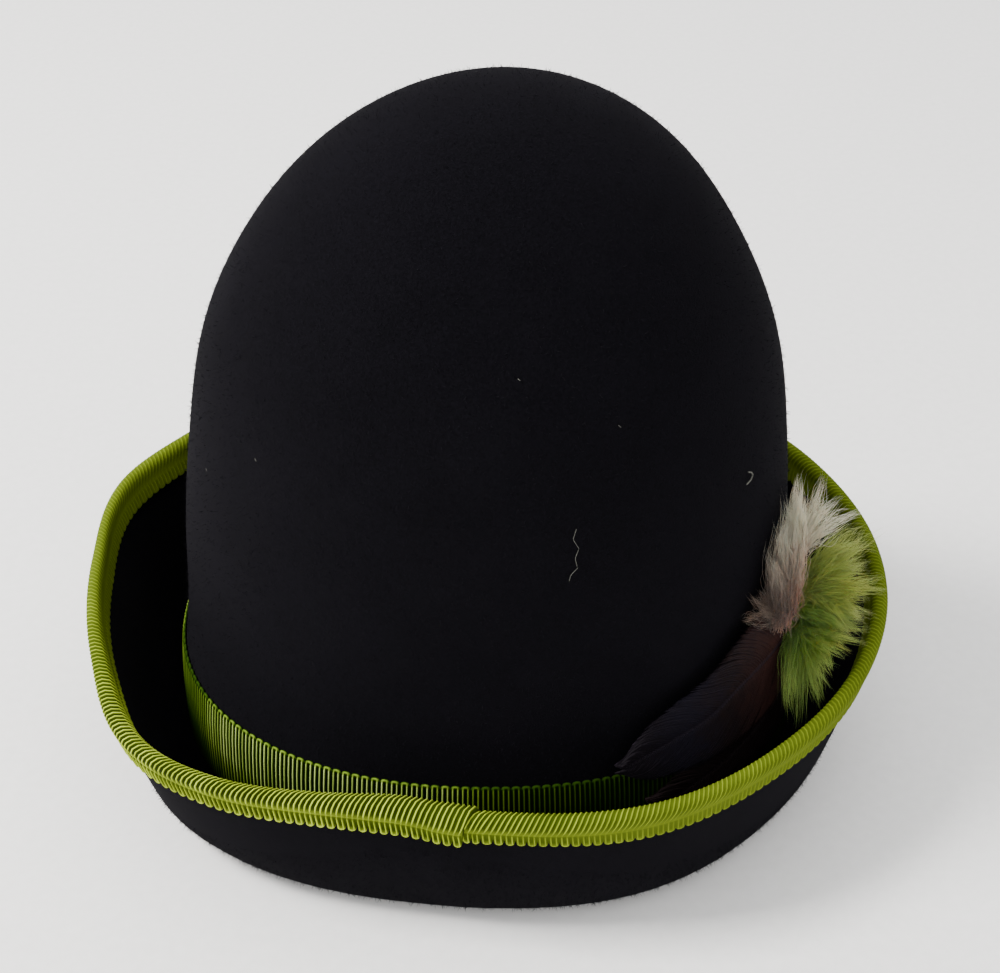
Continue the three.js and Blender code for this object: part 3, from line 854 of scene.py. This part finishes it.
def along_crown(points, start, end):
    """How far each point lies along a feather, by its turn round the crown."""
    points = np.asarray(points)
    turn = -np.degrees(np.arctan2(points[:, 1] / width_to_length, points[:, 0]))
    return (turn - start) / (end - start)


long_points, long_faces = thread_mesh(long_paths, long_widths, barb_flatness, 4, long_flats)
long_feather = add_piece("long_feather_vanes", long_points, long_faces, long_material)
colour_points(long_feather, "along", along_crown(long_points, 12, 66))
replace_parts(long_feather, "long_feather")

# A shorter feather lies under it, lower down across the ribbon, and its root is tied into the same bunch.
# It is nearly black, with a hint of maroon.
# Its vane reaches lower than the feather's own, a dark sheet standing in for the shade on the band beneath
under_rows = [(13, 48, 8), (20, 43, 15), (28, 40, 16), (39, 36, 14), (50, 32, 12), (58, 29, 9), (63, 28, 4)]
under_gaps = [(40, 0.5, -1), (52, 0.5, 1)]
under_paths, under_widths, under_flats = vane_barbs(
    under_rows, spacing=0.3, sweep=9, width=1.1, lift=2.0, ragged=0.2, gaps=under_gaps
)
maroon_black = [
    (0.0, (0.006, 0.003, 0.0028)), (0.6, (0.0065, 0.0033, 0.0038)), (1.0, (0.008, 0.0042, 0.0048)),
]
under_material = feather_finish("dark_maroon_feather", maroon_black, 0.03, (0.6, 0.4, 0.5))
under_points, under_faces = thread_mesh(under_paths, under_widths, barb_flatness, 4, under_flats)
under_feather = add_piece("under_feather_vanes", under_points, under_faces, under_material)
colour_points(under_feather, "along", along_crown(under_points, 18, 63))
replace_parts(under_feather, "under_feather")

# The down is marabou: each tuft is many soft stems bound at one knot, whose fine barbs drift together
# into pointed wisps. The grey-beige tuft stands at the feathers' root with a little brown fluff below it,
# and the two green ones fan out over the brim.
# Three lengths of wisp by turns, short fillers between them, and how far their barbs bend, curl and stray
wisp_lengths = (1.06, 0.62, 0.84)
wisp_scatter = 1.6
filler_length = 0.45
filler_scatter = 2.2
filler_spread = 2.2
stem_bend = 0.09
root_spring = 1.3
down_points = 6
down_wave = 0.012
down_curl = 0.028
down_stray = 0.5
drift_together = 0.8


def line_through(points, share):
    """A place along a smooth line through points, by its share of the way."""
    points = np.asarray(points, float)
    keys = np.linspace(0, 1, len(points))
    share = np.atleast_1d(share)
    return np.stack([smooth_between(keys, points[:, k], share) for k in range(points.shape[1])], axis=-1)


def down_tuft(root, tips, wisps, barbs, spread, arch, thin):
    """Fine barbs of a tuft: wisps run from the root to the line of tips, and barbs gather along each one."""
    paths, widths = [], []
    strands = []
    for number in range(wisps):
        aim = line_through(tips, (number + shake.random() * 0.9) / wisps)[0]
        reach = wisp_lengths[number % 3] + shake.normal(0, 0.07)
        strands.append((root + (aim - root) * reach + shake.normal(0, wisp_scatter, 3), barbs, spread))
    for _ in range(wisps // 2):
        aim = line_through(tips, shake.random())[0]
        end = root + (aim - root) * filler_length + shake.normal(0, filler_scatter, 3)
        strands.append((end, barbs // 2, spread * filler_spread))
    for end, count, bush in strands:
        size = np.linalg.norm(end - root)
        bend = shake.normal(0, stem_bend, 3) * size + np.array([0, 0, arch * size * (0.5 + shake.random())])
        axis = (end - root) / size
        for _ in range(count):
            begin = 0.62 * shake.random() ** 1.3 - 0.1
            stop = begin + (1.03 - begin) * (0.3 + 0.7 * shake.random() ** 1.4)
            local = np.linspace(0, 1, down_points)
            share = begin + (stop - begin) * local
            spring = shake.normal(0, root_spring, 3) * (1 - share)[:, None]
            stem = root + spring + (end - root) * share[:, None] + bend * (share * (1 - share) * 2)[:, None]
            off = shake.normal(0, 1, 3)
            off -= axis * off.dot(axis)
            off /= np.linalg.norm(off) + 1e-9
            wide = bush * size * (0.3 + shake.random())
            swing = np.sin(local * math.pi * 0.92) * (1 - drift_together * share**2)
            stray = down_stray * wide * max(shake.normal(0, 0.6), 0) * local**2
            wave = shake.normal(0, down_wave, 3) * size
            wave = wave * (np.sin(local * 5 + 6 * shake.random()) * local)[:, None]
            curl = shake.normal(0, down_curl, 3) * size * (local**2)[:, None]
            paths.append(stem + off * (swing * wide + stray)[:, None] + curl + wave)
            widths.append(thin * (1.2 - local) * (0.8 + 0.5 * shake.random()))
    return paths, widths


def down_finish(name, steps, sheen_tint):
    """Soft down: paler towards the tips, with light passing through the fine barbs."""
    finish, tree, shader = finish_nodes(name)
    mottle = add_node(tree, "ShaderNodeTexNoise", Scale=420, Detail=2)
    join(tree, colours_along(tree, mottle, 0.4, steps), shader.inputs["Base Color"])
    shader.inputs["Roughness"].default_value = 0.6
    shader.inputs["Sheen Weight"].default_value = 0.15
    shader.inputs["Sheen Tint"].default_value = (*sheen_tint, 1)
    shader.inputs["Subsurface Weight"].default_value = 0.25
    shader.inputs["Subsurface Scale"].default_value = 0.002
    return finish


def add_tuft(name, fans, barbs, thin, material):
    """A tuft of down, from fans of (root, tips, wisps, spread, arch)."""
    paths, widths = [], []
    for root, tips, wisps, spread, arch in fans:
        fan_paths, fan_widths = down_tuft(root, tips, wisps, barbs, spread, arch, thin)
        paths += fan_paths
        widths += fan_widths
    points, faces = thread_mesh(paths, widths)
    tuft = add_piece(name, points, faces, material)
    reach = np.linalg.norm(np.asarray(points) - fans[0][0], axis=1)
    nearly_all = 96
    colour_points(tuft, "along", reach / np.percentile(reach, nearly_all))
    return tuft


def off_crown(places):
    """Places given as (turn towards the near side, height, lift from the crown's wall)."""
    return [crown_point(-turn, height, lift) for turn, height, lift in places]


def over_brim(places):
    """Places given as (turn towards the near side, height, reach from the crown's foot)."""
    return [brim_point(-turn, reach, height) for turn, height, reach in places]


# The grey-beige tuft rises along the crown, and its crest leans out over the brim
grey_root, grey_crest = off_crown([(32, 79, 7.7), (25, 95, 6.5)])
grey_tips = off_crown([(19, 98, 9), (20, 108, 6), (26, 111, 5), (32, 106, 5.2), (36, 93, 5)])
crest_tips = off_crown([(8, 90, 18.6), (12, 100.7, 12.7), (17, 112, 5.4), (24, 111, 4)])
grey_steps = [
    (0.0, (0.035, 0.017, 0.013)), (0.32, (0.09, 0.053, 0.04)),
    (0.62, (0.26, 0.2, 0.15)), (1.0, (0.58, 0.53, 0.37)),
]
grey_down = down_finish("grey_beige_down", grey_steps, (0.9, 0.85, 0.8))
grey_fans = [(grey_root, grey_tips, 24, 0.1, 0.05), (grey_crest, crest_tips, 13, 0.11, 0.05)]
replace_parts(add_tuft("grey_down_tuft", grey_fans, 116, 0.13, grey_down), "grey_down")

# A little brown fluff grows from the long feather's own root
fluff_root = off_crown([(30.5, 75, 6.5)])[0]
fluff_tips = off_crown([(31, 95, 5.8), (35, 92, 5), (38.5, 88, 4.6), (41.5, 84, 4.6), (42, 78, 4.8)])
brown_steps = [(0.0, (0.024, 0.0105, 0.0075)), (0.5, (0.055, 0.029, 0.021)), (1.0, (0.11, 0.07, 0.05))]
brown_down = down_finish("brown_root_down", brown_steps, (0.9, 0.8, 0.75))
add_tuft("brown_root_fluff", [(fluff_root, fluff_tips, 9, 0.13, 0.03)], 90, 0.11, brown_down)

# The upper green tuft is the yellower one, and reaches the brim's edge beyond the grey one
upper_root = off_crown([(21.5, 77.5, 8.6)])[0]
upper_tips = over_brim([(1, 79, 14), (6, 76, 20), (12, 76, 21.5), (17, 74, 21), (18, 66, 20.5), (22, 66, 17)])
lime_steps = [
    (0.0, (0.04, 0.07, 0.002)), (0.3, (0.105, 0.16, 0.004)),
    (0.65, (0.18, 0.24, 0.009)), (1.0, (0.27, 0.33, 0.035)),
]
lime_down = down_finish("lime_down", lime_steps, (0.9, 1, 0.6))
upper_fans = [(upper_root, upper_tips, 38, 0.1, 0.08)]
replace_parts(add_tuft("upper_green_tuft", upper_fans, 112, 0.13, lime_down), "upper_green_plume")

# The lower green tuft hangs over the long feather's root, with a short fan that fills in above it
lower_root = off_crown([(25, 66.2, 8.5)])[0]
lower_tips = over_brim([(21, 69, 21), (26, 64, 19.5), (30, 56, 18), (34, 48, 13.5), (36, 53, 7)])
green_steps = [
    (0.0, (0.017, 0.045, 0.001)), (0.3, (0.048, 0.118, 0.001)),
    (0.65, (0.09, 0.17, 0.003)), (1.0, (0.17, 0.25, 0.025)),
]
green_down = down_finish("green_down", green_steps, (0.8, 1, 0.5))
filling_root = off_crown([(23.5, 72, 8.6)])[0]
filling_tips = over_brim([(15, 68, 20), (20, 66, 20), (25, 62, 19.5)])
lower_fans = [(lower_root, lower_tips, 28, 0.09, 0.06), (filling_root, filling_tips, 11, 0.1, 0.07)]
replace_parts(add_tuft("lower_green_tuft", lower_fans, 112, 0.13, green_down), "lower_green_plume")

# The photograph looks down on the near long side from about an arm's length away. The hat stands on a
# plain pale floor in soft light from the upper left, and its shadow falls softly to the right. These
# places are in metres.
looking_down = 38
camera_data = bpy.data.cameras.new("camera")
camera_data.sensor_width = 36
camera_data.lens = 57.6
camera = bpy.data.objects.new("camera", camera_data)
camera.location = (0.00444, -0.38462, 0.3912)
camera.rotation_euler = (math.radians(90 - looking_down), 0, 0)
bpy.context.scene.collection.objects.link(camera)
bpy.context.scene.camera = camera


lamp_aim = Vector((0, 0, 0.08))


def add_light(name, place, size, power, colour):
    """A soft square lamp that faces the hat."""
    lamp = bpy.data.lights.new(name, "AREA")
    lamp.size = size
    lamp.energy = power
    lamp.color = colour
    holder = bpy.data.objects.new(name, lamp)
    holder.location = place
    holder.rotation_euler = (lamp_aim - Vector(place)).to_track_quat("-Z", "Y").to_euler()
    bpy.context.scene.collection.objects.link(holder)


add_light("window", place=(-1.12, -0.12, 1.42), size=0.5, power=57, colour=(1, 0.98, 0.95))

# The room is pale all round and brightest overhead, so that the light is soft and nearly even
bright_side = (-0.08, 0.1, 0.97)
level_strength = 1.0
overhead_gain = 0.9
world = bpy.data.worlds.new("room")
world.use_nodes = True
tree = world.node_tree
background = tree.nodes["Background"]
background.inputs["Color"].default_value = (1, 1, 1, 1)
towards = add_node(tree, "ShaderNodeVectorMath", operation="DOT_PRODUCT")
join(tree, add_node(tree, "ShaderNodeTexCoord").outputs["Generated"], towards.inputs[0])
towards.inputs[1].default_value = bright_side
strength = add_node(tree, "ShaderNodeMath", operation="MULTIPLY_ADD")
join(tree, towards.outputs["Value"], strength.inputs[0])
strength.inputs[1].default_value = overhead_gain
strength.inputs[2].default_value = level_strength
join(tree, strength.outputs[0], background.inputs["Strength"])
bpy.context.scene.world = world

# The floor is a plain pale sheet with a faint grain, wide enough to pass every side of the picture
floor_reach = 3
floor_finish, tree, shader = finish_nodes("pale_floor")
grain = add_node(tree, "ShaderNodeTexNoise", Scale=260, Detail=2)
join(tree, add_node(tree, "ShaderNodeTexCoord").outputs["Object"], grain.inputs["Vector"])
floor_colours = [(0.3, (0.88, 0.872, 0.86)), (0.7, (0.92, 0.912, 0.9))]
join(tree, colour_steps(tree, grain.outputs["Fac"], floor_colours), shader.inputs["Base Color"])
shader.inputs["Roughness"].default_value = 0.7
floor_mesh = bpy.data.meshes.new("floor")
corners = [(x * floor_reach, y * floor_reach, 0) for x, y in ((-1, -1), (1, -1), (1, 1), (-1, 1))]
floor_mesh.from_pydata(corners, [], [(0, 1, 2, 3)])
floor_mesh.materials.append(floor_finish)
floor = bpy.data.objects.new("floor", floor_mesh)
bpy.context.scene.collection.objects.link(floor)
